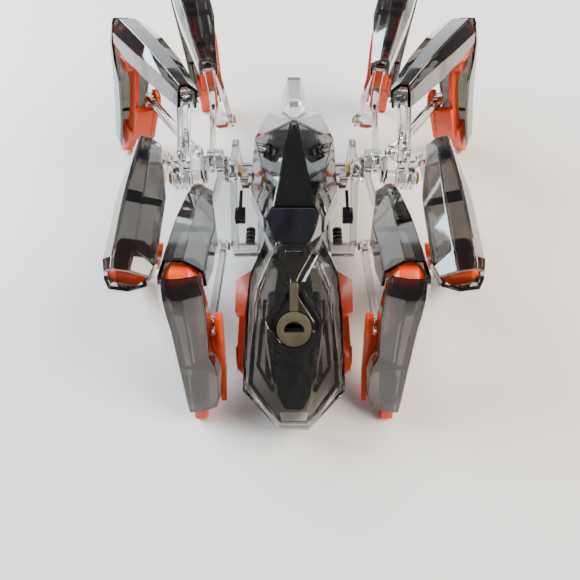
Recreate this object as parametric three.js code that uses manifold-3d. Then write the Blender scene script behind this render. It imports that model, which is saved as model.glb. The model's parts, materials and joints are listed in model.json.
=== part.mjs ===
// Eight-legged walking spider robot: a clip-together kit with a smoked head dome and abdomen, a clear
// frame and linkage, and eight legs whose smoked armour covers bright orange claws.
// Millimetres, +Z up, +Y towards the head. The origin is the middle of the footprint, on the floor.
import * as THREE from "three";
import { ConvexGeometry } from "three/addons/geometries/ConvexGeometry.js";
import { mergeVertices } from "three/addons/utils/BufferGeometryUtils.js";
import Module from "manifold-3d";

const wasm = await Module();
wasm.setup();

// ---- Driving dimensions ------------------------------------------------------------------------------

const GAP = 0.4; // air between neighbouring pieces
const WALL = 1.5; // moulded shells
const ROUND = 14; // sides of a turned piece

// Legs. A leg stands in its own plane: hip pivot, knee pivot, foot.
const FEMUR = 57; // hip pivot to knee pivot
const TIBIA = 76; // knee pivot to the middle of the foot's round tip
const FOOT_RADIUS = 2.5;
const FOOT_HALF_WIDTH = 3;
const SPINE_HALF_WIDTH = 1.4;
const TIE_DOWN = 28; // tie rod pivots: this far down the tibia's line
const TIE_BACK = 10; // and this far behind it
const PIN_RADIUS = 1.5;
const PIN_HOLE_RADIUS = 2.1;
const DRUM_RADIUS = 9.6; // knee drum
const DRUM_HALF_WIDTH = 7;
const ROD_INSIDE = 5.9; // the tie rod lies between these two distances from the leg's plane
const ROD_OUTSIDE = 9.1;

// Each leg in the rear left corner's frame; front legs are mirrored. Yaw turns from straight back
// towards the outside; heading is the way the foot lies from the knee, seen from above.
const LEG_POSES = [
  { name: "rear_inner", end: 1, hip: [-47, -26, 45], yaw: 0, pitch: 19, heading: 0, crank: 0 },
  {
    name: "rear_outer", end: 1, hip: [-69, -17, 70], yaw: 0, pitch: 0, heading: 140, crank: 3,
    hood: true,
  },
  { name: "front_outer", end: -1, hip: [-53, -10, 80], yaw: 36, pitch: -6, heading: 98, crank: 2 },
  { name: "front_inner", end: -1, hip: [-48, -52, 65], yaw: 16, pitch: 12, heading: 180, crank: 1 },
];

// Crankshafts: a two-throw crank on each side drives the four legs of that side.
const CRANK_Y = -6;
const CRANK_Z = 48;
const THROW = [4, 2]; // how far each crank pin lies from the shaft, along Y and Z
const SHAFT_RADIUS = 2.5;
const RING_X = [39.2, 43.6, 56.2, 61.1]; // where the four hip link rings sit on the pins
const RING_RADIUS = 6;
const RING_WIDTH = 3.4;
const RING_BORE = 3.1;

// Clear frame.
const TUB = { halfWidth: 20, back: -45, front: 42, bottom: 10, top: 27.5 };
const SIDE_PLATE_X = [30.6, 34];

// Drive: each motor's pinion turns a wide gear; both lie between the tub and the side plate. Axes are [y, z].
const DRIVE = { teeth: 18, radius: 4.6, depth: 0.9, turn: 0.125 };
const PINION = { teeth: 9, radius: 2.5, depth: 0.9, turn: 0.625 };
const DRIVE_AXIS = [0, 35];
const PINION_AXIS = [0, 28.5];
const SWITCH = { halfWidth: 3, back: -31, front: -19, bottom: 8.6 };

// Head dome, sensor panel, abdomen: outlines as corner points, mirrored left and right.
const DOME_POINTS = [
  [1.6, 20, 57], [10, -36, 57], [22, 18, 46], [23.5, -12, 39], [15.5, -36, 47], [16, 47, 37],
  [8.3, 43, 41.5], [25, 18, 33], [24, -14, 30], [16, -36, 33], [15, 49, 31],
];
const HORN_POINTS = [
  [1.9, 22, 57], [3.8, 63, 49], [3.2, 63, 43], [8.6, 46, 42], [6.5, 50, 34],
];
const SENSOR_POINTS = [
  [10, -37, 57], [13.6, -41, 55.5], [13.4, -50, 53.5], [8, -55, 54.5], [8, -55, 42], [12, -48, 40],
  [13, -41, 40], [10, -37, 42],
];
const SHELL_POINTS = [
  [8, -55.8, 57], [16.8, -78, 53], [9.7, -119, 31.5], [6, -133, 23], [22, -118, 26.5], [6.8, -135, 18],
  [8, -55.8, 52], [16.8, -78, 47.5], [22, -118, 23.5], [6.8, -135, 15],
];
const TRAY_POINTS = [
  [12.8, -47, 50], [21.5, -66, 43], [23.5, -84, 35], [25, -117, 19], [7.5, -134, 11], [14, -47, 32],
  [22, -66, 20], [24, -104, 12], [17, -117, 6], [6, -131, 7], [14, -62, 8],
];
const UPPER_PAD_POINTS = [
  [20, -60, 38], [20, -60, 24], [29.5, -64, 33], [29.5, -64, 26], [29.5, -80, 30], [29.5, -80, 23],
  [20, -85, 34], [20, -85, 20],
];
const LOWER_PAD_POINTS = [
  [21.5, -91, 27], [21.5, -91, 16], [29, -96, 23], [29, -96, 16], [28, -106, 21], [28, -106, 14],
  [21, -112, 17], [21, -112, 12],
];
const PAD_STRIP_POINTS = [
  [21, -74, 28], [21, -74, 22], [21.5, -104, 22], [21.5, -104, 16], [27.4, -74, 28], [27.4, -74, 22],
  [28.4, -104, 22], [28.4, -104, 16],
];

// Battery lock: a coin knob set square in the abdomen's sloping top panel.
const LOCK_Y = -94.6;
const LOCK_SLOPE = Math.atan2(53 - 31.5, 119 - 78);
const LOCK_RADIUS = 8;
const LOCK_DEPTH = 3;

// ---- Materials ---------------------------------------------------------------------------------------

function plastic(colour, roughness, opacity = 1) {
  return new THREE.MeshStandardMaterial({
    color: colour,
    roughness,
    metalness: 0,
    opacity,
    transparent: opacity < 1,
  });
}

const SMOKE = plastic(0x3a3632, 0.12, 0.75);
const CLEAR_SMOKE = plastic(0x8a847c, 0.12, 0.5);
const CLEAR = plastic(0xe8ebec, 0.08, 0.35);
const ORANGE = plastic(0xe63c00, 0.4);
const BLACK = plastic(0x0a0a0f, 0.1);
const OLIVE = plastic(0x787060, 0.25, 0.9);
const BOARD = plastic(0x1f4a2c, 0.6);
const CELL = plastic(0x2b2d33, 0.5);
const METAL = new THREE.MeshStandardMaterial({ color: 0xb8b8b4, roughness: 0.35, metalness: 1 });

// ---- Solids ------------------------------------------------------------------------------------------

function solidOf(geometry) {
  const bare = geometry.index ? geometry.toNonIndexed() : geometry.clone();
  bare.deleteAttribute("normal");
  bare.deleteAttribute("uv");
  const merged = mergeVertices(bare, 1e-4);
  const vertProperties = merged.attributes.position.array;
  const triVerts = new Uint32Array(merged.index.array);
  return new wasm.Manifold(new wasm.Mesh({ numProp: 3, vertProperties, triVerts }));
}

function geometryOf(solid) {
  const mesh = solid.getMesh();
  const geometry = new THREE.BufferGeometry();
  geometry.setAttribute("position", new THREE.BufferAttribute(mesh.vertProperties, 3));
  geometry.setIndex(new THREE.BufferAttribute(mesh.triVerts, 1));
  geometry.computeVertexNormals();
  return geometry;
}

function join(...geometries) {
  const solids = geometries.map(solidOf);
  return geometryOf(solids.reduce((whole, piece) => whole.add(piece)));
}

function cut(geometry, ...tools) {
  return geometryOf(tools.map(solidOf).reduce((whole, tool) => whole.subtract(tool), solidOf(geometry)));
}

function mesh(name, geometry, material) {
  const piece = new THREE.Mesh(geometry, material);
  piece.name = name;
  return piece;
}

function block(x0, x1, y0, y1, z0, z1) {
  const geometry = new THREE.BoxGeometry(x1 - x0, y1 - y0, z1 - z0);
  return geometry.translate((x0 + x1) / 2, (y0 + y1) / 2, (z0 + z1) / 2);
}

// A round bar along the local Y axis, between two distances from the leg's plane.
function barrel(radius, y0, y1, x = 0, z = 0, sides = ROUND) {
  const geometry = new THREE.CylinderGeometry(radius, radius, y1 - y0, sides);
  return geometry.translate(x, (y0 + y1) / 2, z);
}

// A round bar along X; its two ends may be given in either order.
function axle(radius, x0, x1, y, z, sides = ROUND) {
  const geometry = new THREE.CylinderGeometry(radius, radius, Math.abs(x1 - x0), sides);
  return geometry.rotateZ(Math.PI / 2).translate((x0 + x1) / 2, y, z);
}

function outline(points) {
  return new THREE.Shape(points.map(([x, y]) => new THREE.Vector2(x, y)));
}

// A flat plate whose outline lies in the local XZ plane, between two distances from that plane.
function plateXZ(points, y0, y1) {
  const geometry = new THREE.ExtrudeGeometry(outline(points), { depth: y1 - y0, bevelEnabled: false });
  return geometry.rotateX(Math.PI / 2).translate(0, y1, 0);
}

// A bar with round ends from a to b, `width` across and `thick` along the given normal.
function strap(a, b, width, thick, normal) {
  const along = new THREE.Vector3().subVectors(b, a);
  const length = along.length();
  along.normalize();
  const side = new THREE.Vector3().crossVectors(normal, along).normalize();
  const up = new THREE.Vector3().crossVectors(along, side);
  const shape = new THREE.Shape();
  shape.absarc(0, 0, width / 2, Math.PI / 2, Math.PI * 1.5);
  shape.absarc(length, 0, width / 2, -Math.PI / 2, Math.PI / 2);
  const options = { depth: thick, bevelEnabled: false, curveSegments: 4 };
  const geometry = new THREE.ExtrudeGeometry(shape, options).translate(0, 0, -thick / 2);
  return geometry.applyMatrix4(new THREE.Matrix4().makeBasis(along, side, up).setPosition(a));
}

function mirrored(points) {
  return points.flatMap(([x, y, z]) => [new THREE.Vector3(x, y, z), new THREE.Vector3(-x, y, z)]);
}

// The convex solid round the points, grown (or with a negative amount shrunk) on every side.
// A sweep stretches it along Z, so that a shell cut with it stays open on that side.
function hull(points, grow = 0, sweep = 0) {
  const box = new THREE.Box3().setFromPoints(points);
  const centre = box.getCenter(new THREE.Vector3());
  const size = box.getSize(new THREE.Vector3());
  const scale = new THREE.Vector3(1 + (2 * grow) / size.x, 1 + (2 * grow) / size.y, 1 + (2 * grow) / size.z);
  const moved = points.map((point) => point.clone().sub(centre).multiply(scale).add(centre));
  const swept = moved.map((point) => point.clone().add(new THREE.Vector3(0, 0, sweep)));
  return new ConvexGeometry(sweep ? moved.concat(swept) : moved);
}

// A faceted armour channel along +X, open underneath. A station gives x, the top strip's two edges and
// height, then the shoulder and the rim of the far side (y < 0) and of the near side, as [y, z];
// `lean` moves shoulders and rims along X.
function channel(stations, wall) {
  const thin = wall * 0.6;
  const rings = stations.map(({ x, top, far, farRim, near, nearRim, lean = 0 }) => {
    const [topFar, topNear, topZ] = top;
    return [
      [x + lean, farRim[0], farRim[1]],
      [x + lean, far[0], far[1]],
      [x, topFar, topZ],
      [x, topNear, topZ],
      [x + lean, near[0], near[1]],
      [x + lean, nearRim[0], nearRim[1]],
      [x + lean, nearRim[0] - wall, nearRim[1]],
      [x + lean, near[0] - wall, near[1] - thin],
      [x, topNear - thin, topZ - wall],
      [x, topFar + thin, topZ - wall],
      [x + lean, far[0] + wall, far[1] - thin],
      [x + lean, farRim[0] + wall, farRim[1]],
    ];
  });
  const count = rings[0].length;
  const positions = rings.flat(2);
  const index = [];
  const quad = (a, b, c, d) => index.push(a, b, c, a, c, d);
  for (let ring = 0; ring + 1 < rings.length; ring += 1) {
    for (let k = 0; k < count; k += 1) {
      const here = ring * count;
      const next = here + count;
      const after = (k + 1) % count;
      quad(here + k, next + k, next + after, here + after);
    }
  }
  const last = (rings.length - 1) * count;
  for (let k = 0; k < count / 2 - 1; k += 1) {
    const inner = count - 1 - k;
    quad(k, k + 1, inner - 1, inner);
    quad(last + k, last + inner, last + inner - 1, last + k + 1);
  }
  const geometry = new THREE.BufferGeometry();
  geometry.setAttribute("position", new THREE.Float32BufferAttribute(positions, 3));
  geometry.setIndex(index);
  return geometry;
}

// ---- Leg pieces, in leg frames -----------------------------------------------------------------------
// Femur frame: hip pivot at the origin, +X to the knee, +Z up, +Y towards the robot's middle.
// Tibia frame: knee pivot at the origin, -Z down to the foot, +X outwards, +Y towards the middle.

const KNEE_HOOD = [
  {
    x: 62, top: [-6.1, 1.9, 13.2], far: [-9.5, 9.4], farRim: [-9.3, 7.8],
    near: [10, 10], nearRim: [9.8, 8.4],
  },
  {
    x: 67, top: [-5.6, 1.6, 12.4], far: [-8.4, 9.2], farRim: [-8.3, 8.2],
    near: [8.6, 9.6], nearRim: [8.5, 8.6],
  },
];

function femurArmour(hood) {
  const body = channel(
    [
      {
        x: -4, top: [-4.6, 0.2, 9], far: [-5.4, 5.5], farRim: [-5.2, -2],
        near: [5, 5.5], nearRim: [5, -3.5],
      },
      { x: 8, top: [-5.4, 1, 11], far: [-7, 7], farRim: [-6.8, -2], near: [7, 7.2], nearRim: [7, -4.5] },
      {
        x: 26, top: [-6, 1.8, 12.8], far: [-9, 7.5], farRim: [-8.8, -1.5],
        near: [10.6, 7], nearRim: [10.2, -6],
      },
      {
        x: 34, top: [-6.2, 2, 13.2], far: [-9.4, 7], farRim: [-9.2, -1],
        near: [10.6, 7.8], nearRim: [10.2, -3],
      },
      {
        x: 45, top: [-6.2, 2, 13.4], far: [-9.6, 6.5], farRim: [-9.4, -1.5],
        near: [10.6, 9], nearRim: [10.2, -5],
      },
      {
        x: 58, top: [-6.2, 2, 13.2], far: [-9.6, 6], farRim: [-9.4, 0.5], near: [10.6, 8.4],
        nearRim: [10.2, 0], lean: 2,
      },
      ...(hood ? KNEE_HOOD : []),
    ],
    WALL,
  );
  return join(body, barrel(PIN_RADIUS, -4.4, 4.2, 0, 0, 10));
}

function tibiaArmour() {
  const body = channel(
    [
      {
        x: -7, top: [-6, 1.6, 12.6], far: [-8.2, 9], farRim: [-8.4, 7.6],
        near: [8.2, 9.6], nearRim: [8.4, 8.2],
      },
      {
        x: 2, top: [-6.2, 1.8, 13.2], far: [-9.4, 7.5], farRim: [-9.6, 5],
        near: [9.4, 8.8], nearRim: [9.6, 5],
      },
      {
        x: 10, top: [-6, 1.8, 12.2], far: [-9.4, 5.5], farRim: [-9.6, 1.5],
        near: [9.4, 6.5], nearRim: [9.6, 1.5],
      },
      {
        x: 18, top: [-5.6, 1.6, 10.6], far: [-9, 4.5], farRim: [-9.2, -4],
        near: [9, 5], nearRim: [9.2, -4],
      },
      {
        x: 37, top: [-5.2, 1.4, 8.6], far: [-7.8, 3.2], farRim: [-8, -5.5],
        near: [7.8, 3.4], nearRim: [8, -5.5],
      },
      {
        x: 43, top: [-5, 1.3, 8], far: [-7.6, 3], farRim: [-7.8, -6],
        near: [9.6, 2.6], nearRim: [10, -5.5],
      },
      {
        x: 50, top: [-4.9, 1.2, 7.4], far: [-7.4, 2.8], farRim: [-7.6, -6],
        near: [10.6, 2], nearRim: [11.2, -5],
      },
      {
        x: 64, top: [-4.5, 1, 6.4], far: [-6.8, 2], farRim: [-7, -5.5],
        near: [10.4, 1.4], nearRim: [11, -4.5],
      },
      {
        x: 70, top: [-4.2, 0.8, 5.6], far: [-5.6, 1.6], farRim: [-5.6, -3.5],
        near: [8.4, 1.6], nearRim: [8.4, -3],
      },
    ],
    WALL,
  );
  return body.rotateY(Math.PI / 2);
}

function claw() {
  const drum = new THREE.LatheGeometry(
    [
      [0, -DRUM_HALF_WIDTH],
      [DRUM_RADIUS - 3, -DRUM_HALF_WIDTH],
      [DRUM_RADIUS, 3 - DRUM_HALF_WIDTH],
      [DRUM_RADIUS, DRUM_HALF_WIDTH - 3],
      [DRUM_RADIUS - 3, DRUM_HALF_WIDTH],
      [0, DRUM_HALF_WIDTH],
    ].map(([r, y]) => new THREE.Vector2(r, y)),
    20,
  );
  const lobe = barrel(6.2, -4.4, 4.4, 1, -9, 16);
  const spine = plateXZ(
    [[3, -6], [-6, -6], [-9.5, -26], [-9.5, -60], [0, -62], [-3, -50], [-2, -24], [4, -14]],
    -SPINE_HALF_WIDTH,
    SPINE_HALF_WIDTH,
  );
  const foot = plateXZ(
    [
      [-9.5, -52], [-9.5, -58], [-6, -70], [-FOOT_RADIUS, -TIBIA], [FOOT_RADIUS, -TIBIA],
      [1.6, -66], [1, -52],
    ],
    -FOOT_HALF_WIDTH,
    FOOT_HALF_WIDTH,
  );
  const toe = barrel(FOOT_RADIUS, -FOOT_HALF_WIDTH, FOOT_HALF_WIDTH, 0, -TIBIA, 16);
  // The hooked fin behind the armour reaches sideways to the tie rod's pin.
  const web = block(-12.5, -8.3, -1, 12.6, -56, -34);
  const fin = plateXZ(
    [
      [-6.6, -23.4], [-9, -21.6], [-13, -23], [-14.6, -28], [-14, -34], [-12.8, -42], [-12.8, -56],
      [-7.6, -67], [-4.4, -71.5], [-5.6, -62], [-8.3, -54], [-8.3, -42], [-6.6, -33],
    ],
    9.6,
    12.6,
  );
  const pin = barrel(PIN_RADIUS, ROD_INSIDE - 0.6, 10, -TIE_BACK, -TIE_DOWN, 10);
  return join(drum, lobe, spine, foot, toe, web, fin, pin);
}

function tieRod() {
  const a = new THREE.Vector3(0, (ROD_INSIDE + ROD_OUTSIDE) / 2, 0);
  const b = a.clone().setX(FEMUR);
  const bar = strap(a, b, 5, ROD_OUTSIDE - ROD_INSIDE, new THREE.Vector3(0, 1, 0));
  const ends = [0, FEMUR].map((x) => barrel(4, ROD_INSIDE, ROD_OUTSIDE, x, 0, 16));
  const holes = [0, FEMUR].map((x) => barrel(PIN_HOLE_RADIUS, ROD_INSIDE - 1, ROD_OUTSIDE + 1, x, 0, 12));
  return cut(join(bar, ...ends), ...holes);
}

// ---- Legs --------------------------------------------------------------------------------------------

const radians = THREE.MathUtils.degToRad;

// The three points of a leg and the directions of its two frames.
function legFrame({ hip, yaw, pitch, heading }) {
  const start = new THREE.Vector3(...hip);
  const level = Math.cos(radians(pitch));
  const along = new THREE.Vector3(
    -Math.sin(radians(yaw)) * level,
    -Math.cos(radians(yaw)) * level,
    Math.sin(radians(pitch)),
  );
  const knee = start.clone().addScaledVector(along, FEMUR);
  const flat = new THREE.Vector3(-Math.sin(radians(heading)), -Math.cos(radians(heading)), 0);
  let across = new THREE.Vector3(1, 0, 0);
  let foot = knee;
  // The foot's tip is a short round bar, so its lowest point depends on how far the leg's plane leans.
  for (let round = 0; round < 4; round += 1) {
    const lean = Math.abs(across.z);
    const height = FOOT_RADIUS * Math.sqrt(1 - lean * lean) + FOOT_HALF_WIDTH * lean;
    const drop = knee.z - height;
    const reach = Math.sqrt(TIBIA * TIBIA - drop * drop);
    foot = knee.clone().addScaledVector(flat, reach).setZ(height);
    across = new THREE.Vector3().crossVectors(along, foot.clone().sub(knee)).normalize();
  }
  const up = new THREE.Vector3().crossVectors(along, across);
  const shin = knee.clone().sub(foot).normalize();
  const out = new THREE.Vector3().crossVectors(across, shin);
  const tieOffset = shin.clone().multiplyScalar(-TIE_DOWN).addScaledVector(out, -TIE_BACK);
  return { start, knee, along, across, up, shin, out, tie: start.clone().add(tieOffset) };
}

function placed(name, x, y, z, origin, ...children) {
  const group = new THREE.Group();
  group.name = name;
  group.matrixAutoUpdate = false;
  group.matrix.makeBasis(x, y, z).setPosition(origin);
  group.add(...children);
  return group;
}

function hipLinkGeometry(frame, crank, end) {
  const { start, across, tie } = frame;
  const throwSign = crank < 2 ? 1 : -1;
  const pinY = CRANK_Y + throwSign * THROW[0];
  const pinZ = CRANK_Z + throwSign * THROW[1];
  const ring = new THREE.Vector3(-RING_X[crank], end * pinY, pinZ);
  const middle = start.clone().lerp(tie, 0.5);
  const neck = middle.clone().sub(ring).setX(0).normalize().multiplyScalar(RING_RADIUS + 2).add(ring);
  const bore = axle(RING_BORE, ring.x - 4, ring.x + 4, ring.y, ring.z, 16);
  const sideways = new THREE.Vector3(1, 0, 0);
  const boss = (origin, radius, y0, y1) =>
    barrel(radius, y0, y1).applyMatrix4(
      new THREE.Matrix4().makeBasis(frame.along, across, frame.up).setPosition(origin),
    );
  const body = join(
    axle(RING_RADIUS, ring.x - RING_WIDTH / 2, ring.x + RING_WIDTH / 2, ring.y, ring.z),
    strap(ring, neck, 5.2, RING_WIDTH - 0.6, sideways),
    strap(neck, middle, 5.6, 2.8, across),
    strap(start, tie, 6.5, 4.4, across),
    boss(start, 4, -2.8, 2.8),
    boss(tie, 4, -2.2, ROD_INSIDE - GAP),
    boss(tie, PIN_RADIUS, -2.2, ROD_OUTSIDE + 0.6),
  );
  return cut(body, bore, boss(start, PIN_HOLE_RADIUS, -4, 4));
}

function leg(pose, side) {
  const frame = legFrame(pose);
  const label = `${side}_${pose.name}`;
  const { along, across, up, shin, out } = frame;
  const corner = new THREE.Group();
  corner.scale.set(side === "left" ? 1 : -1, pose.end, 1);
  corner.add(
    mesh(`${label}_hip_link`, hipLinkGeometry(frame, pose.crank, pose.end), CLEAR),
    placed(
      `${label}_femur`, along, across, up, frame.start,
      mesh(`${label}_femur_armour`, femurArmour(pose.hood), SMOKE),
    ),
    placed(
      `${label}_tibia`, out, across, shin, frame.knee,
      mesh(`${label}_claw`, claw(), ORANGE),
      mesh(`${label}_tibia_armour`, tibiaArmour(), SMOKE),
    ),
    placed(`${label}_tie`, along, across, up, frame.tie, mesh(`${label}_tie_rod`, tieRod(), CLEAR)),
  );
  return corner;
}

// ---- Drive -------------------------------------------------------------------------------------------

function crankshaft(sign) {
  const inner = [CRANK_Y + THROW[0], CRANK_Z + THROW[1]];
  const outer = [CRANK_Y - THROW[0], CRANK_Z - THROW[1]];
  const bar = (radius, x0, x1, [y, z], sides) => axle(radius, sign * x0, sign * x1, y, z, sides);
  return join(
    bar(SHAFT_RADIUS, 29.4, 36, [CRANK_Y, CRANK_Z], 12),
    bar(6.6, 34.6, 36.7, [CRANK_Y, CRANK_Z]),
    bar(SHAFT_RADIUS, 36, 47.5, inner, 12),
    bar(7, 46.3, 48.6, [CRANK_Y, CRANK_Z]),
    bar(SHAFT_RADIUS, 48, 64, outer, 12),
    bar(4.2, 48, 53.8, outer),
    bar(3.8, 63, 64.4, outer),
  );
}

function gear({ teeth, radius, depth, turn }, x0, x1, y, z, bore) {
  const points = [];
  for (let k = 0; k < teeth * 4; k += 1) {
    const angle = ((k / 4 + turn) / teeth) * Math.PI * 2;
    const reach = k % 4 < 2 ? radius : radius - depth;
    points.push([Math.cos(angle) * reach, Math.sin(angle) * reach]);
  }
  const shape = outline(points);
  const hole = new THREE.Path();
  hole.absarc(0, 0, bore, 0, Math.PI * 2);
  shape.holes.push(hole);
  const options = { depth: Math.abs(x1 - x0), bevelEnabled: false, curveSegments: 5 };
  return new THREE.ExtrudeGeometry(shape, options).rotateY(Math.PI / 2).translate(Math.min(x0, x1), y, z);
}

// ---- Body --------------------------------------------------------------------------------------------

const domeHull = mirrored(DOME_POINTS);
const shellHull = mirrored(SHELL_POINTS);
const trayHull = mirrored(TRAY_POINTS);
const sensorHull = mirrored(SENSOR_POINTS);

function headDome() {
  return cut(hull(domeHull), hull(domeHull, -WALL, -14));
}

function headHorn() {
  return cut(hull(mirrored(HORN_POINTS)), hull(domeHull, GAP, -6));
}

function sensorPanel() {
  return cut(hull(sensorHull), hull(sensorHull, -WALL, -16), hull(domeHull, GAP, -6));
}

// A long slot through the abdomen's top, from a to b in plan.
function slot(a, b, width) {
  const from = new THREE.Vector3(a[0], a[1], 50);
  const to = new THREE.Vector3(b[0], b[1], 50);
  return strap(from, to, width, 40, new THREE.Vector3(0, 0, 1));
}

const lockFrame = new THREE.Matrix4()
  .makeRotationX(LOCK_SLOPE)
  .setPosition(0, LOCK_Y, 53 - (-78 - LOCK_Y) * Math.tan(LOCK_SLOPE));

function disc(radius, depth0, depth1, sides = 32) {
  const geometry = new THREE.CylinderGeometry(radius, radius, depth1 - depth0, sides);
  return geometry.rotateX(Math.PI / 2).translate(0, 0, (depth0 + depth1) / 2);
}

function abdomenShell() {
  const slots = [-1, 1].flatMap((s) => [
    slot([s * 9, -62.5], [s * 2.6, -74.5], 2.2),
    slot([s * 2.6, -80.5], [s * 10.6, -91.5], 2.2),
    slot([s * 10.6, -91.5], [s * 9.6, -94.5], 2.2),
  ]);
  const hole = disc(LOCK_RADIUS + GAP, -8, 8).applyMatrix4(lockFrame);
  return cut(hull(shellHull), hull(shellHull, -WALL, -16), slot([-3, -61], [3, -61], 1.4), hole, ...slots);
}

function lockKnob() {
  const slotCut = block(-4.6, 4.6, -1.4, 3.4, -1.2, 4);
  const rim = disc(LOCK_RADIUS, -LOCK_DEPTH, 0.5);
  const boss = disc(5, -8, -LOCK_DEPTH + 0.5, 20);
  return cut(join(rim, boss), slotCut);
}

function bellyTray() {
  const hollow = hull(trayHull, -WALL, 22);
  const neck = [hull(sensorHull, GAP, 4), hull(sensorHull, GAP, -9)];
  return cut(hull(trayHull), hollow, hull(shellHull, GAP, 8), ...neck);
}

function sideInsert(sign) {
  const pads = [UPPER_PAD_POINTS, LOWER_PAD_POINTS, PAD_STRIP_POINTS].map((points) =>
    hull(points.map(([x, y, z]) => new THREE.Vector3(sign * x, y, z))),
  );
  return cut(join(...pads), hull(trayHull, GAP), block(-22.4, 22.4, -125, -88, 0, 60));
}

function chassis() {
  const { halfWidth, back, front, bottom, top } = TUB;
  const inner = halfWidth - 2;
  const switchHalf = SWITCH.halfWidth + GAP;
  const tub = cut(
    block(-halfWidth, halfWidth, back, front, bottom, top),
    block(-inner, inner, back + 2, front - 2, bottom + 2, top + 1),
    axle(6.5, -halfWidth - 1, halfWidth + 1, ...PINION_AXIS, 16),
    block(-switchHalf, switchHalf, SWITCH.back - GAP, SWITCH.front + GAP, bottom - 1, top),
  );
  const [near, far] = SIDE_PLATE_X;
  const thick = far - near;
  const crank = [CRANK_Y, CRANK_Z];
  const sideways = new THREE.Vector3(1, 0, 0);
  const arms = [-1, 1].flatMap((sign) => {
    const rail = (a, b) => {
      const at = ([y, z]) => new THREE.Vector3((sign * (near + far)) / 2, y, z);
      return strap(at(a), at(b), 6, thick, sideways);
    };
    const beam = (y0, y1, z0, z1) => {
      const ends = [sign * (halfWidth - 1), sign * far];
      return block(Math.min(...ends), Math.max(...ends), y0, y1, z0, z1);
    };
    return [
      beam(12, 18, 20, 26),
      beam(-40, -34, 14, 20),
      rail([15, 23], [15, 44]),
      rail([15, 44], crank),
      rail(crank, [-37, 24]),
      rail([-37, 24], [-37, 17]),
      axle(6.5, sign * near, sign * far, ...crank),
    ];
  });
  const bores = [-1, 1].map((sign) => axle(SHAFT_RADIUS + 0.6, sign * 28, sign * 38, ...crank, 16));
  return cut(join(tub, ...arms), ...bores);
}

// ---- Inside ------------------------------------------------------------------------------------------

function motor(sign) {
  const [y, z] = PINION_AXIS;
  const can = axle(6, sign * 4, sign * 18.6, y, z, 16);
  const bush = axle(2.6, sign * 18, sign * 19.4, y, z, 12);
  return cut(join(can, bush), axle(1.4, sign * 12, sign * 20, y, z, 10));
}

function motorPinion(sign) {
  const shaft = axle(1, sign * 12.6, sign * 26.4, ...PINION_AXIS, 10);
  const wheel = gear(PINION, sign * 25.8, sign * 30, ...PINION_AXIS, 0.8);
  return join(wheel, shaft);
}

function driveGear(sign) {
  const wheel = gear(DRIVE, sign * 25.8, sign * 30, ...DRIVE_AXIS, 1);
  return join(wheel, axle(1.2, sign * 25.4, sign * 30.2, ...DRIVE_AXIS, 12));
}

function circuitBoard() {
  return join(
    block(-12, 12, -30, 32, 36, 37.4),
    block(-5, 5, -6, 4, 37, 39.2),
    axle(2.2, -9, -4, 24, 38.8, 12),
    block(3, 10, 12, 18, 37, 41),
  );
}

function batteryPack() {
  const cells = [-9.4, 0, 9.4].map((x) => {
    const cell = new THREE.CylinderGeometry(4.9, 4.9, 46, 14);
    return cell.translate(x, -88, 18.5);
  });
  return join(...cells, block(-12, 12, -112.5, -110, 15, 22), block(-12, 12, -66, -63.5, 15, 22));
}

function powerSwitch() {
  const { halfWidth, back, bottom } = SWITCH;
  return join(
    block(-halfWidth, halfWidth, back, back + 4, bottom, 13),
    block(-halfWidth - 2.4, halfWidth + 2.4, back - 2, back + 6, 12.4, 14),
  );
}

// ---- The robot ---------------------------------------------------------------------------------------

function frameOf(matrix, child) {
  const group = new THREE.Group();
  group.matrixAutoUpdate = false;
  group.matrix.copy(matrix);
  group.add(child);
  return group;
}

const robot = new THREE.Group();
robot.add(
  mesh("chassis", chassis(), CLEAR),
  mesh("head_dome", headDome(), SMOKE),
  mesh("head_horn", headHorn(), CLEAR_SMOKE),
  mesh("sensor_panel", sensorPanel(), BLACK),
  mesh("abdomen_shell", abdomenShell(), SMOKE),
  mesh("belly_tray", bellyTray(), CLEAR_SMOKE),
  mesh("circuit_board", circuitBoard(), BOARD),
  mesh("battery_pack", batteryPack(), CELL),
  mesh("power_switch", powerSwitch(), BLACK),
  frameOf(lockFrame, mesh("lock_knob", lockKnob(), OLIVE)),
);
for (const [side, sign] of [["left", -1], ["right", 1]]) {
  robot.add(
    mesh(`${side}_side_insert`, sideInsert(sign), ORANGE),
    mesh(`${side}_crankshaft`, crankshaft(sign), CLEAR),
    mesh(`${side}_motor`, motor(sign), METAL),
    mesh(`${side}_motor_pinion`, motorPinion(sign), OLIVE),
    mesh(`${side}_drive_gear`, driveGear(sign), CLEAR),
    ...LEG_POSES.map((pose) => leg(pose, side)),
  );
}

// The robot is moved so that the middle of its footprint is the origin.
robot.updateMatrixWorld(true);
const bounds = new THREE.Box3().setFromObject(robot, true);
robot.position.y = -(bounds.min.y + bounds.max.y) / 2;
const root = new THREE.Group();
root.add(robot);

export default root;
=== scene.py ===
"""Walking spider robot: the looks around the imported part."""
import json
import math

import bmesh
import bpy
from mathutils import Matrix, Vector


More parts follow.
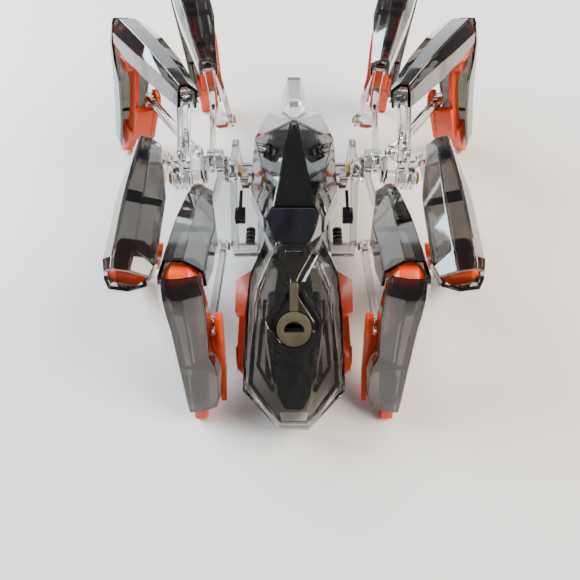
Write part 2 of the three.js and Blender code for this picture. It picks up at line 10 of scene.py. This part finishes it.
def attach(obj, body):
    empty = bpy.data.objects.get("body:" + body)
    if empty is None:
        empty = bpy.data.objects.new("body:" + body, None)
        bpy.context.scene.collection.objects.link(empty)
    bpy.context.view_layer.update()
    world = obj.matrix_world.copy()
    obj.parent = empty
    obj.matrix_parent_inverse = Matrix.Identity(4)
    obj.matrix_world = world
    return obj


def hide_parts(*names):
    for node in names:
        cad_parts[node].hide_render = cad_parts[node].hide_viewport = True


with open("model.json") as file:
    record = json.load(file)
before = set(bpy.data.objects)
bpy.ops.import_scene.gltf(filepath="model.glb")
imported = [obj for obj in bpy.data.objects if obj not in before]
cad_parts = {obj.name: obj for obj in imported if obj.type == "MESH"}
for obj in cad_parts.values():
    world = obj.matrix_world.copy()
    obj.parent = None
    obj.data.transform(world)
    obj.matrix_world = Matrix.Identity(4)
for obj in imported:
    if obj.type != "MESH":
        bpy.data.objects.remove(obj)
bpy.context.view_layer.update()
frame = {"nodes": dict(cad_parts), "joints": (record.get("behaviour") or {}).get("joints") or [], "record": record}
MM = 0.001
NODES = frame["nodes"]
JOINTS = {joint["name"]: joint for joint in frame["joints"]}
SIDES = {"left": -1, "right": 1}
LEGS = ("rear_inner", "rear_outer", "front_outer", "front_inner")
# Places below are in design millimetres, whose y = 0 is the drive gears' axis.
DESIGN_Y = JOINTS["left_drive_gear_spin"]["pos_m"][1]

# ---- Camera, light and floor --------------------------------------------------------------------

SENSOR = 36
LENS = 27.062
SIDE_SHIFT = -0.0069
CAMERA_PLACE = (0, -0.162 + DESIGN_Y, 0.231)
CAMERA_TILT = math.radians(25)
# Name, location, target, size, power, colour.
LIGHTS = (
    ("window", (-1.0, 0.55, 0.75), (0, 0, 0.03), (1.0, 0.7), 54, (0.78, 0.90, 1)),
    ("room", (1.0, 0.1, 1.0), (0, 0, 0.02), (0.9, 0.9), 42, (1, 0.90, 0.78)),
    ("far_wall", (0, 1.5, 0.35), (0, 0, 0.05), (2.4, 0.7), 12, (0.9, 0.95, 1)),
)


def make_camera():
    data = bpy.data.cameras.new("camera")
    data.sensor_width = SENSOR
    data.lens = LENS
    data.shift_x = SIDE_SHIFT
    data.clip_start = 0.01
    data.clip_end = 20
    camera = bpy.data.objects.new("camera", data)
    camera.location = CAMERA_PLACE
    camera.rotation_euler = (CAMERA_TILT, 0, 0)
    bpy.context.scene.collection.objects.link(camera)
    bpy.context.scene.camera = camera


def area_light(name, location, target, size, power, colour):
    data = bpy.data.lights.new(name, "AREA")
    data.shape = "RECTANGLE"
    data.size, data.size_y = size
    data.energy = power
    data.color = colour
    light = bpy.data.objects.new(name, data)
    light.location = location
    direction = Vector(target) - Vector(location)
    light.rotation_euler = direction.to_track_quat("-Z", "Y").to_euler()
    bpy.context.scene.collection.objects.link(light)


def make_world():
    world = bpy.data.worlds.new("studio")
    world.use_nodes = True
    background = world.node_tree.nodes["Background"]
    background.inputs["Color"].default_value = (0.92, 0.95, 1, 1)
    background.inputs["Strength"].default_value = 0.24
    bpy.context.scene.world = world


make_camera()
make_world()
for light in LIGHTS:
    area_light(*light)

# ---- Materials ----------------------------------------------------------------------------------


def new_material(name):
    material = bpy.data.materials.new(name)
    material.use_nodes = True
    return material, material.node_tree, material.node_tree.nodes["Principled BSDF"]


def texture_noise(tree, scale, detail=3.0, stretch=(1, 1, 1)):
    """Noise in the piece's own space, so that it stays on the piece as it moves."""
    place = tree.nodes.new("ShaderNodeTexCoord")
    mapping = tree.nodes.new("ShaderNodeMapping")
    mapping.inputs["Scale"].default_value = stretch
    noise = tree.nodes.new("ShaderNodeTexNoise")
    noise.inputs["Scale"].default_value = scale
    noise.inputs["Detail"].default_value = detail
    tree.links.new(place.outputs["Object"], mapping.inputs["Vector"])
    tree.links.new(mapping.outputs["Vector"], noise.inputs["Vector"])
    return noise


def spread(tree, source, low, high, socket):
    """Maps a noise between two values and plugs it into a shader's socket."""
    reach = tree.nodes.new("ShaderNodeMapRange")
    reach.inputs["From Min"].default_value = 0.3
    reach.inputs["From Max"].default_value = 0.7
    reach.inputs["To Min"].default_value = low
    reach.inputs["To Max"].default_value = high
    tree.links.new(source.outputs["Fac"], reach.inputs["Value"])
    tree.links.new(reach.outputs["Result"], socket)


def tint(tree, source, low, high, socket):
    ramp = tree.nodes.new("ShaderNodeValToRGB")
    ramp.color_ramp.elements[0].position = 0.35
    ramp.color_ramp.elements[1].position = 0.65
    ramp.color_ramp.elements[0].color = (*low, 1)
    ramp.color_ramp.elements[1].color = (*high, 1)
    tree.links.new(source.outputs["Fac"], ramp.inputs["Fac"])
    tree.links.new(ramp.outputs["Color"], socket)


def bumps(tree, source, shader, strength, distance):
    bump = tree.nodes.new("ShaderNodeBump")
    bump.inputs["Strength"].default_value = strength
    bump.inputs["Distance"].default_value = distance
    tree.links.new(source.outputs["Fac"], bump.inputs["Height"])
    tree.links.new(bump.outputs["Normal"], shader.inputs["Normal"])


def moulded(name, low, high, rough, clear=0.0, ior=1.46, wave=0.03, coat=0.0):
    """Injection-moulded plastic: slow flow waves in the surface, colour that varies a little with them,
    and handling marks that change the gloss."""
    material, tree, shader = new_material(name)
    flow = texture_noise(tree, 90, 2.0, (1, 0.35, 1))
    tint(tree, flow, low, high, shader.inputs["Base Color"])
    spread(tree, texture_noise(tree, 420, 4.0), rough[0], rough[1], shader.inputs["Roughness"])
    bumps(tree, flow, shader, wave, 0.0004)
    shader.inputs["Transmission Weight"].default_value = clear
    shader.inputs["IOR"].default_value = ior
    shader.inputs["Coat Weight"].default_value = coat
    shader.inputs["Coat Roughness"].default_value = 0.05
    return material


def metal(name, low, high, rough):
    material, tree, shader = new_material(name)
    turned = texture_noise(tree, 700, 3.0, (1, 1, 0.1))
    tint(tree, turned, low, high, shader.inputs["Base Color"])
    spread(tree, turned, rough[0], rough[1], shader.inputs["Roughness"])
    shader.inputs["Metallic"].default_value = 1.0
    return material


# Colours at the two ends of the flow waves, then the smallest and largest roughness.
CLEAR_ROUGH = (0.02, 0.07)
MATERIALS = {
    "smoke": moulded(
        "smoked_plastic", (0.085, 0.080, 0.072), (0.115, 0.108, 0.098), CLEAR_ROUGH, 1.0, coat=0.7),
    "dome": moulded(
        "dome_smoked_plastic", (0.20, 0.195, 0.18), (0.25, 0.245, 0.23), CLEAR_ROUGH, 1.0, coat=0.7),
    "shell": moulded(
        "shell_smoked_plastic", (0.52, 0.50, 0.46), (0.60, 0.58, 0.54), CLEAR_ROUGH, 1.0, coat=0.5),
    "clear_smoke": moulded(
        "clear_smoke_plastic", (0.62, 0.61, 0.59), (0.70, 0.69, 0.67), CLEAR_ROUGH, 1.0),
    "horn": moulded(
        "horn_smoked_plastic", (0.44, 0.45, 0.46), (0.52, 0.53, 0.54), CLEAR_ROUGH, 1.0, coat=0.5),
    "clear": moulded(
        "clear_plastic", (0.64, 0.655, 0.65), (0.74, 0.755, 0.75), (0.01, 0.05), 1.0),
    "orange": moulded(
        "orange_plastic", (0.74, 0.045, 0.001), (0.88, 0.075, 0.002), (0.26, 0.38), coat=0.1),
    "black": moulded(
        "black_plastic", (0.004, 0.004, 0.006), (0.010, 0.010, 0.014), (0.03, 0.09)),
    "olive": moulded(
        "olive_plastic", (0.060, 0.052, 0.030), (0.095, 0.084, 0.050), (0.14, 0.24), coat=0.6),
    "dark": moulded(
        "dark_inner_plastic", (0.018, 0.014, 0.008), (0.032, 0.026, 0.016), (0.25, 0.4)),
    # Near-black matt plastic; under the shell's slots it is painted shade, standing for the dark inside seen
    # through them.
    "shade": moulded(
        "matt_black_and_painted_shade", (0.0015, 0.0015, 0.0015), (0.003, 0.003, 0.003), (0.6, 0.8)),
    "gold": moulded(
        "amber_gear_plastic", (0.30, 0.17, 0.05), (0.42, 0.26, 0.09), (0.25, 0.4)),
    "board": moulded(
        "circuit_board", (0.012, 0.05, 0.025), (0.02, 0.08, 0.04), (0.3, 0.5)),
    "cell": moulded(
        "battery_wrap", (0.012, 0.012, 0.016), (0.03, 0.03, 0.036), (0.2, 0.35)),
    "steel": metal(
        "brushed_steel", (0.42, 0.41, 0.40), (0.62, 0.61, 0.60), (0.18, 0.34)),
}

# ---- Mesh helpers -------------------------------------------------------------------------------


def finished(bm, name, look, body, bevel=0.25, segments=2, sharp=32):
    """Turns a bmesh into a piece on a body, with its edges rounded by `bevel` mm."""
    mesh = bpy.data.meshes.new(name)
    bmesh.ops.recalc_face_normals(bm, faces=bm.faces)
    bm.to_mesh(mesh)
    bm.free()
    piece = bpy.data.objects.new(name, mesh)
    bpy.context.scene.collection.objects.link(piece)
    if bevel:
        rounding = piece.modifiers.new("rounding", "BEVEL")
        rounding.width = bevel * MM
        rounding.segments = segments
        rounding.limit_method = "ANGLE"
        rounding.angle_limit = math.radians(sharp)
        rounding.use_clamp_overlap = False
        rounding.miter_outer = "MITER_ARC"
        graph = bpy.context.evaluated_depsgraph_get()
        made = bpy.data.meshes.new_from_object(piece.evaluated_get(graph))
        piece.modifiers.clear()
        piece.data = made
        bpy.data.meshes.remove(mesh)
        made.name = name
    for polygon in piece.data.polygons:
        polygon.use_smooth = True
    piece.data.set_sharp_from_angle(angle=math.radians(sharp))
    piece.data.materials.clear()
    piece.data.materials.append(MATERIALS[look])
    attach(piece, body)
    return piece


def refined(node, look, body, bevel=0.3, sharp=32, segments=2, weld=0.06):
    """The CAD node's own shape with its edges rounded, standing for that node."""
    bm = bmesh.new()
    bm.from_mesh(NODES[node].data)
    bmesh.ops.remove_doubles(bm, verts=bm.verts, dist=weld * MM)
    bmesh.ops.dissolve_degenerate(bm, edges=bm.edges, dist=0.01 * MM)
    bmesh.ops.dissolve_limit(bm, angle_limit=math.radians(1.5), verts=bm.verts, edges=bm.edges)
    piece = finished(bm, f"{node}_moulding", look, body, bevel, segments, sharp)
    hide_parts(node)
    return piece


# ---- CAD nodes ----------------------------------------------------------------------------------


def body_of(node):
    bodies = frame["record"]["behaviour"]["bodies"]
    return next(body for body, members in bodies.items() if node in members)


# Look, edge radius in mm and the angle in degrees above which an edge stays crisp.
LOOKS = {
    "chassis": ("clear", 0.3, 32), "head_dome": ("dome", 0.3, 6), "head_horn": ("horn", 0.3, 6),
    "sensor_panel": ("black", 0.4, 6), "abdomen_shell": ("shell", 0.3, 6),
    "belly_tray": ("clear_smoke", 0.3, 6), "lock_knob": ("olive", 0.3, 32),
    "power_switch": ("black", 0.3, 32),
    "circuit_board": ("board", 0.1, 32), "battery_pack": ("cell", 0.4, 32),
}
for side in SIDES:
    LOOKS[f"{side}_side_insert"] = ("orange", 0.4, 10)
    LOOKS[f"{side}_crankshaft"] = ("clear", 0.25, 32)
    LOOKS[f"{side}_motor"] = ("steel", 0.3, 32)
    LOOKS[f"{side}_motor_pinion"] = ("gold", 0.1, 32)
    LOOKS[f"{side}_drive_gear"] = ("clear", 0.1, 32)
    for leg in LEGS:
        LOOKS[f"{side}_{leg}_hip_link"] = ("clear", 0.12, 32)
        LOOKS[f"{side}_{leg}_femur_armour"] = ("smoke", 0.3, 6)
        LOOKS[f"{side}_{leg}_tibia_armour"] = ("smoke", 0.3, 6)
        LOOKS[f"{side}_{leg}_claw"] = ("orange", 0.4, 32)
        LOOKS[f"{side}_{leg}_tie_rod"] = ("clear", 0.25, 32)
for node, (look, bevel, sharp) in LOOKS.items():
    refined(node, look, body_of(node), bevel, sharp)

# ---- Shapes -------------------------------------------------------------------------------------


def add_box(bm, low, high, place=Matrix.Identity(4)):
    corners = [(x, y, z) for x in (low[0], high[0]) for y in (low[1], high[1]) for z in (low[2], high[2])]
    made = [bm.verts.new(place @ (Vector(corner) * MM)) for corner in corners]
    for face in ((0, 1, 3, 2), (4, 6, 7, 5), (0, 4, 5, 1), (2, 3, 7, 6), (0, 2, 6, 4), (1, 5, 7, 3)):
        bm.faces.new([made[k] for k in face])


def add_turned(bm, profile, place=Matrix.Identity(4), sides=24):
    """A closed solid turned about local Z from (radius, height) points in mm; both ends lie on the axis."""
    rings = []
    for radius, height in profile:
        if radius == 0:
            rings.append([bm.verts.new(place @ Vector((0, 0, height * MM)))])
            continue
        ring = []
        for k in range(sides):
            angle = 2 * math.pi * k / sides
            at = Vector((radius * math.cos(angle), radius * math.sin(angle), height)) * MM
            ring.append(bm.verts.new(place @ at))
        rings.append(ring)
    for lower, upper in zip(rings, rings[1:]):
        for k in range(sides):
            after = (k + 1) % sides
            if len(lower) == 1 and len(upper) == 1:
                break
            if len(lower) == 1:
                bm.faces.new((lower[0], upper[after], upper[k]))
            elif len(upper) == 1:
                bm.faces.new((lower[k], lower[after], upper[0]))
            else:
                bm.faces.new((lower[k], lower[after], upper[after], upper[k]))


def add_plate(bm, outline, low, high, place=Matrix.Identity(4)):
    """A flat plate: an outline in local X and Y, from height low to high, in mm."""
    bottom = [bm.verts.new(place @ (Vector((x, y, low)) * MM)) for x, y in outline]
    top = [bm.verts.new(place @ (Vector((x, y, high)) * MM)) for x, y in outline]
    bm.faces.new(list(reversed(bottom)))
    bm.faces.new(top)
    count = len(outline)
    for k in range(count):
        after = (k + 1) % count
        bm.faces.new((bottom[k], bottom[after], top[after], top[k]))


def add_bar(bm, start, end, radius, sides=8):
    """A round bar between two points in metres."""
    start, end = Vector(start), Vector(end)
    turn = (end - start).to_track_quat("Z", "Y").to_matrix().to_4x4()
    length = (end - start).length / MM
    profile = [(0, 0), (radius, 0), (radius, length), (0, length)]
    add_turned(bm, profile, Matrix.Translation(start) @ turn, sides)


def piece_from(name, look, body, build, bevel=0.2, segments=2, sharp=32):
    bm = bmesh.new()
    build(bm)
    return finished(bm, name, look, body, bevel, segments, sharp)


def design(x, y, z):
    """A point given in design millimetres."""
    return Vector((x, y, z)) * MM + Vector((0, DESIGN_Y, 0))


def along_x(x, y, z, sign=1):
    """Local Z runs along X at a design point."""
    return Matrix.Translation(design(x, y, z)) @ Matrix.Rotation(math.radians(90 * sign), 4, "Y")


def mirror_x(values, sign):
    """A low and a high x for one side, in rising order."""
    return sorted(sign * value for value in values)


# ---- Legs: pins, screws, rings and ribs ---------------------------------------------------------

# The tie rod's pivot, from the femur's: mm down the shin and mm towards the body.
TIE_DOWN = 28
TIE_BACK = 10
DRUM_FACE = 6.9  # knee drum's cheek, from its middle


def matrix_of(x, y, z, at):
    return Matrix.Translation(at) @ Matrix((x, y, z)).transposed().to_4x4()


def leg_frames(side, leg):
    """The femur's, tibia's and tie rod's frames, as in the CAD. Local Y runs across the leg; a femur's
    local X and a tibia's local -Z run towards the foot. Mirrored legs get mirrored frames."""
    name = f"{side}_{leg}"
    turn = -SIDES[side] * (1 if leg.startswith("rear") else -1)
    hip, knee, tie = (JOINTS[f"{name}_{which}_joint"] for which in ("hip", "knee", "tie"))
    across = Vector(hip["axis"]) * turn
    start, bend, low = Vector(hip["pos_m"]), Vector(knee["pos_m"]), Vector(tie["pos_m"])
    reach = (bend - start).normalized()
    offset = (low - start).normalized()
    side_on = across.cross(offset) * turn
    whole = math.hypot(TIE_DOWN, TIE_BACK)
    shin = -offset * (TIE_DOWN / whole) + side_on * (TIE_BACK / whole)
    out = -offset * (TIE_BACK / whole) - side_on * (TIE_DOWN / whole)
    femur = matrix_of(reach, across, reach.cross(across) * turn, start)
    tibia = matrix_of(out, across, shin, bend)
    rod = matrix_of(reach, across, reach.cross(across) * turn, low)
    return name, femur, tibia, rod


ACROSS = Matrix.Rotation(math.radians(-90), 4, "X")  # local Z turned onto local Y


def screw(bm, place, radius=2.0, height=1.2):
    """A pan-head screw, seated at local height 0."""
    rise = [(0, -0.3), (radius, -0.3), (radius, height * 0.45), (radius * 0.8, height * 0.85), (0, height)]
    add_turned(bm, rise, place, 20)


for side in SIDES:
    for leg in LEGS:
        name, femur, tibia, rod = leg_frames(side, leg)
        body_femur, body_tibia = f"{name}_femur", f"{name}_tibia"

        # Hip: a stepped head on each end of the femur's pin.
        def hip_pin(bm, femur=femur):
            near_end = [(0, 2.9), (2.7, 2.9), (2.7, 3.4), (1.7, 3.6), (1.7, 4.2), (0, 4.2)]
            far_end = [(radius, -height) for radius, height in reversed(near_end)]
            add_turned(bm, near_end, femur @ ACROSS)
            add_turned(bm, far_end, femur @ ACROSS)

        piece_from(f"{name}_hip_pin", "gold", "body", hip_pin, 0.12)

        # Lower pivot: a domed pin head on the tie rod's free face.
        def rod_pins(bm, rod=rod):
            add_turned(bm, [(0, 9.75), (2.3, 9.75), (2.5, 10.1), (1.8, 10.7), (0, 10.8)], rod @ ACROSS)

        piece_from(f"{name}_lower_pin", "gold", "body", rod_pins, 0.12)

        # Inside the femur armour: a dark clip band and two ribs.
        def femur_ribs(bm, femur=femur):
            add_plate(bm, [(27.5, -7.2), (31, -7.2), (31, 8.6), (27.5, 8.6)], 5.2, 6.0, femur)
            add_plate(bm, [(29, -5.2), (31.4, -5.2), (31.4, 1), (29, 1)], 9.2, 11.2, femur)
            add_plate(bm, [(6, -4.0), (8, -4.0), (8, 1), (6, 1)], 6.5, 9.0, femur)

        piece_from(f"{name}_femur_ribs", "dark", body_femur, femur_ribs, 0.2)

        # Knee: a raised ring on both cheeks of the drum and a screw in one of them.
        def knee_ring(bm, tibia=tibia):
            for sign in (1, -1):
                flip = Matrix.Scale(sign, 4, (0, 0, 1))
                ring = [(4.2, DRUM_FACE), (5.6, DRUM_FACE), (5.4, DRUM_FACE + 0.6), (4.4, DRUM_FACE + 0.6)]
                count = 24
                loops = []
                for radius, height in ring:
                    loops.append([
                        bm.verts.new(tibia @ ACROSS @ flip @ (Vector((
                            radius * math.cos(2 * math.pi * k / count),
                            radius * math.sin(2 * math.pi * k / count), height)) * MM))
                        for k in range(count)
                    ])
                for k in range(count):
                    after = (k + 1) % count
                    for low, high in ((0, 1), (1, 2), (2, 3), (3, 0)):
                        bm.faces.new((loops[low][k], loops[low][after], loops[high][after], loops[high][k]))

        piece_from(f"{name}_knee_ring", "orange", body_tibia, knee_ring, 0.1)

        def knee_screw(bm, tibia=tibia):
            seat = Matrix.Translation((0, 0, (DRUM_FACE + 0.1) * MM))
            screw(bm, tibia @ ACROSS @ seat, 1.8, 0.8)

        piece_from(f"{name}_knee_screw", "steel", body_tibia, knee_screw, 0.1)

        # Inside the tibia armour: one rib across and two along.
        def tibia_ribs(bm, tibia=tibia):
            stand = tibia @ Matrix.Rotation(math.radians(90), 4, "Y")
            add_plate(bm, [(44, -6.4), (45.4, -6.4), (45.4, 6.4), (44, 6.4)], 0.6, 2.0, stand)
            add_plate(bm, [(46, -4.2), (60, -4.0), (60, -3.2), (46, -3.4)], 3.2, 5.4, stand)
            add_plate(bm, [(24, -4.5), (40, -4.2), (40, -3.5), (24, -3.8)], 4.6, 7.0, stand)

        piece_from(f"{name}_tibia_ribs", "dark", body_tibia, tibia_ribs, 0.15)

# ---- Head, neck and abdomen ---------------------------------------------------------------------


def dome_strip(bm):
    outline = [(-9.2, -34), (9.2, -34), (1.2, 18), (-1.2, 18)]
    add_plate(bm, outline, 53.2, 54.9, Matrix.Translation(design(0, 0, 0)))


def dome_edges(bm):
    for sign in (1, -1):
        add_bar(bm, design(sign * 9.7, -35, 55.0), design(sign * 1.7, 19, 55.0), 0.45)
        add_bar(bm, design(sign * 1.9, 19.4, 54.9), design(sign * 20.6, 17, 44.6), 0.35)


def dome_orange(bm):
    for sign in (1, -1):
        low, high = mirror_x((21.4, 22.6), sign)
        add_box(bm, (low, -2, 34.5), (high, 14, 41), Matrix.Translation(design(0, 0, 0)))


def gearbox(bm):
    place = Matrix.Translation(design(0, 0, 0))
    for sign in (1, -1):
        for low, high, y0, y1, z0, z1 in (
            (14, 18.8, -12, 12, 29, 33), (10, 17, 16, 30, 22, 32), (8, 16, -24, -14, 23, 33),
        ):
            x0, x1 = mirror_x((low, high), sign)
            add_box(bm, (x0, y0, z0), (x1, y1, z1), place)


def contact_stack(bm):
    for sign in (1, -1):
        for k in range(4):
            at = Matrix.Translation(design(sign * 23.4, -32.5 - 2.4 * k, 30))
            turned = at @ Matrix.Rotation(math.radians(90), 4, "X")
            add_turned(bm, [(0, -0.6), (2.6, -0.6), (2.6, 0.6), (0, 0.6)], turned, 16)


def black_plugs(bm):
    place = Matrix.Translation(design(0, 0, 0))
    for sign in (1, -1):
        for low, high, y0, y1, z0, z1 in (
            (28.4, 30.2, -22, -9, 33, 34.8), (26.4, 32, -28.5, -20.5, 30, 35),
        ):
            x0, x1 = mirror_x((low, high), sign)
            add_box(bm, (x0, y0, z0), (x1, y1, z1), place)


piece_from("head_centre_strip", "dark", "body", dome_strip, 0.2)
piece_from("head_edge_seams", "black", "body", dome_edges, 0)
piece_from("head_side_bars", "orange", "body", dome_orange, 0.3)
piece_from("gearbox_blocks", "dark", "body", gearbox, 0.5)
piece_from("contact_stacks", "dark", "body", contact_stack, 0.15)
piece_from("wiring_plugs", "black", "body", black_plugs, 0.4)

# The abdomen's top has two panels that meet at a fold. Parts on them are placed with local X to the
# right, local Y up the slope and local Z out of the panel, from the middle of the fold.
FOLD = design(0, -78, 53)
TAIL_SLOPE = math.atan2(53 - 31.5, 119 - 78)
NECK_SLOPE = math.atan2(57 - 53, 78 - 55.8)
TAIL = Matrix.Translation(FOLD) @ Matrix.Rotation(TAIL_SLOPE, 4, "X")
NECK = Matrix.Translation(FOLD) @ Matrix.Rotation(NECK_SLOPE, 4, "X")
BOSS_DOWN = -18.8
KNOB_DOWN = -18.76
# Heights of the black plates under the slots, which paint the shade seen through them.
SHADE = (-2.0, -1.75)  # just inside the shell's wall, under its slots


def mirrored(outline):
    """Closes an outline given for the right side with its mirror image."""
    return outline + [(-x, y) for x, y in reversed(outline)]


def tail_cover(bm):
    outline = [(7.4, -2.2), (9.6, -10), (9.6, -26), (5.2, -31.5), (5.2, -33.5), (8.4, -37), (8.4, -44.5)]
    add_plate(bm, mirrored(outline), -4.4, -2.6, TAIL)


def tail_end_cover(bm):
    end = TAIL @ Matrix.Translation((0, -44.6 * MM, -3.4 * MM)) @ Matrix.Rotation(math.radians(3), 4, "X")
    add_plate(bm, mirrored([(8.3, 0), (7.4, -6), (4.2, -12.5)]), -1.6, 0, end)


def tail_boss(bm):
    rise = [(0, -3.9), (12.2, -3.9), (12.2, -2.0), (0, -2.0)]
    add_turned(bm, rise, TAIL @ Matrix.Translation((0, BOSS_DOWN * MM, 0)), 40)


def tail_triangle(bm):
    add_plate(bm, mirrored([(4.8, -34.6), (4.2, -36.6), (0.9, -43.4)]), -2.5, -1.8, TAIL)


def tail_screw(bm):
    screw(bm, TAIL @ Matrix.Translation((0, -38.2 * MM, -1.95 * MM)), 1.2, 0.3)


def tail_tongue(bm):
    add_plate(bm, mirrored([(1.2, 2.4), (2, 1.6), (2, -10.6)]), -0.6, 0.35, TAIL)


# Black plates under the shell's slots: painted shade for the dark inside seen through the slots.
def slot_painted_shade(bm):
    for sign in (1, -1):
        lower = [(1.2, -1.6), (4.4, -1.6), (13.2, -15.2), (11.4, -20.2), (8.8, -19.6), (9.2, -14.4)]
        add_plate(bm, [(sign * x, y) for x, y in lower], *SHADE, TAIL)
        upper = [(1.0, 1.2), (4.0, 1.2), (11.4, 15.6), (8.0, 17.0)]
        add_plate(bm, [(sign * x, y) for x, y in upper], *SHADE, NECK)
    add_plate(bm, [(-3.6, 15.8), (3.6, 15.8), (3.6, 18.6), (-3.6, 18.6)], *SHADE, NECK)


def slot_rims(bm):
    """The raised ridges that run beside the slots."""
    for sign in (1, -1):
        for start, end, place in (
            ((4.6, -1.4), (13.2, -14.9), TAIL), ((13.2, -14.9), (11.8, -18.6), TAIL),
            ((4.6, 3.0), (10.8, 15.2), NECK),
        ):
            ends = [place @ (Vector((sign * x, y, 0.05)) * MM) for x, y in (start, end)]
            add_bar(bm, *ends, 0.32)


def shell_side_rails(bm):
    """Rails of the battery box: one along the shell's lower edge and one inside it."""
    for sign in (1, -1):
        for rail in (
            ((17.6, -80, 43), (20.2, -115, 25.2), (7.6, -131, 19.2)),
            ((13.4, -81, 47), (16.6, -108, 31), (9.6, -119, 27)),
        ):
            points = [design(sign * x, y, z) for x, y, z in rail]
            for start, end in zip(points, points[1:]):
                add_bar(bm, start, end, 0.9, 6)


def neck_plate(bm):
    add_plate(bm, [(-9, -2), (9, -2), (6.0, 20.5), (-6.0, 20.5)], -5.0, -3.4, NECK)


def knob_corners(bm):
    """Round off the coin recess to a D."""
    middle = TAIL @ Matrix.Translation((0, KNOB_DOWN * MM, 0))
    for sign in (1, -1):
        corner = [(4.7, 3.5), (4.7, -0.4), (4.1, 1.1), (3.1, 2.4), (1.6, 3.2), (0.4, 3.5)]
        add_plate(bm, [(sign * x, y) for x, y in corner], -1.15, 0.45, middle)


piece_from("battery_inner_cover", "dark", "body", tail_cover, 0.4)
piece_from("battery_end_cover", "dark", "body", tail_end_cover, 0.4)
piece_from("lock_inner_boss", "dark", "body", tail_boss, 0.4)
piece_from("tail_triangle_boss", "shade", "body", tail_triangle, 0.25)
piece_from("tail_screw", "dark", "body", tail_screw, 0.1)
piece_from("cover_tongue", "olive", "body", tail_tongue, 0.3)
piece_from("slot_painted_shade", "shade", "body", slot_painted_shade, 0)
piece_from("slot_ridges", "dome", "body", slot_rims, 0)
piece_from("battery_box_rails", "dark", "body", shell_side_rails, 0)
piece_from("neck_inner_plate", "dark", "body", neck_plate, 0.3)
piece_from("coin_recess_corners", "olive", body_of("lock_knob"), knob_corners, 0.1)

# ---- Side mechanism -----------------------------------------------------------------------------


def crank_nuts(bm):
    for sign in (1, -1):
        add_turned(bm, [(0, -0.9), (3.9, -0.9), (3.9, 0.9), (0, 0.9)], along_x(sign * 28.6, -6, 48), 6)
        add_turned(bm, [(0, -0.7), (3.4, -0.7), (3.4, 0.7), (0, 0.7)], along_x(sign * 65.2, -10, 46), 6)


def frame_screws(bm):
    for sign in (1, -1):
        for y, z in ((15, 23), (15, 44), (-37, 24)):
            screw(bm, along_x(sign * 34, y, z, sign), 2.0, 0.9)


piece_from("crank_nuts", "gold", "body", crank_nuts, 0.2)
piece_from("frame_screws", "steel", "body", frame_screws, 0.12)

# ---- Floor --------------------------------------------------------------------------------------


def make_floor():
    bm = bmesh.new()
    bmesh.ops.create_grid(bm, x_segments=8, y_segments=8, size=3)
    mesh = bpy.data.meshes.new("floor")
    bm.to_mesh(mesh)
    bm.free()
    floor = bpy.data.objects.new("floor", mesh)
    bpy.context.scene.collection.objects.link(floor)
    material, tree, shader = new_material("pale_floor")
    cloud = texture_noise(tree, 3, 2.0)
    tint(tree, cloud, (0.80, 0.765, 0.72), (0.84, 0.80, 0.755), shader.inputs["Base Color"])
    shader.inputs["Roughness"].default_value = 0.55
    floor.data.materials.append(material)


make_floor()
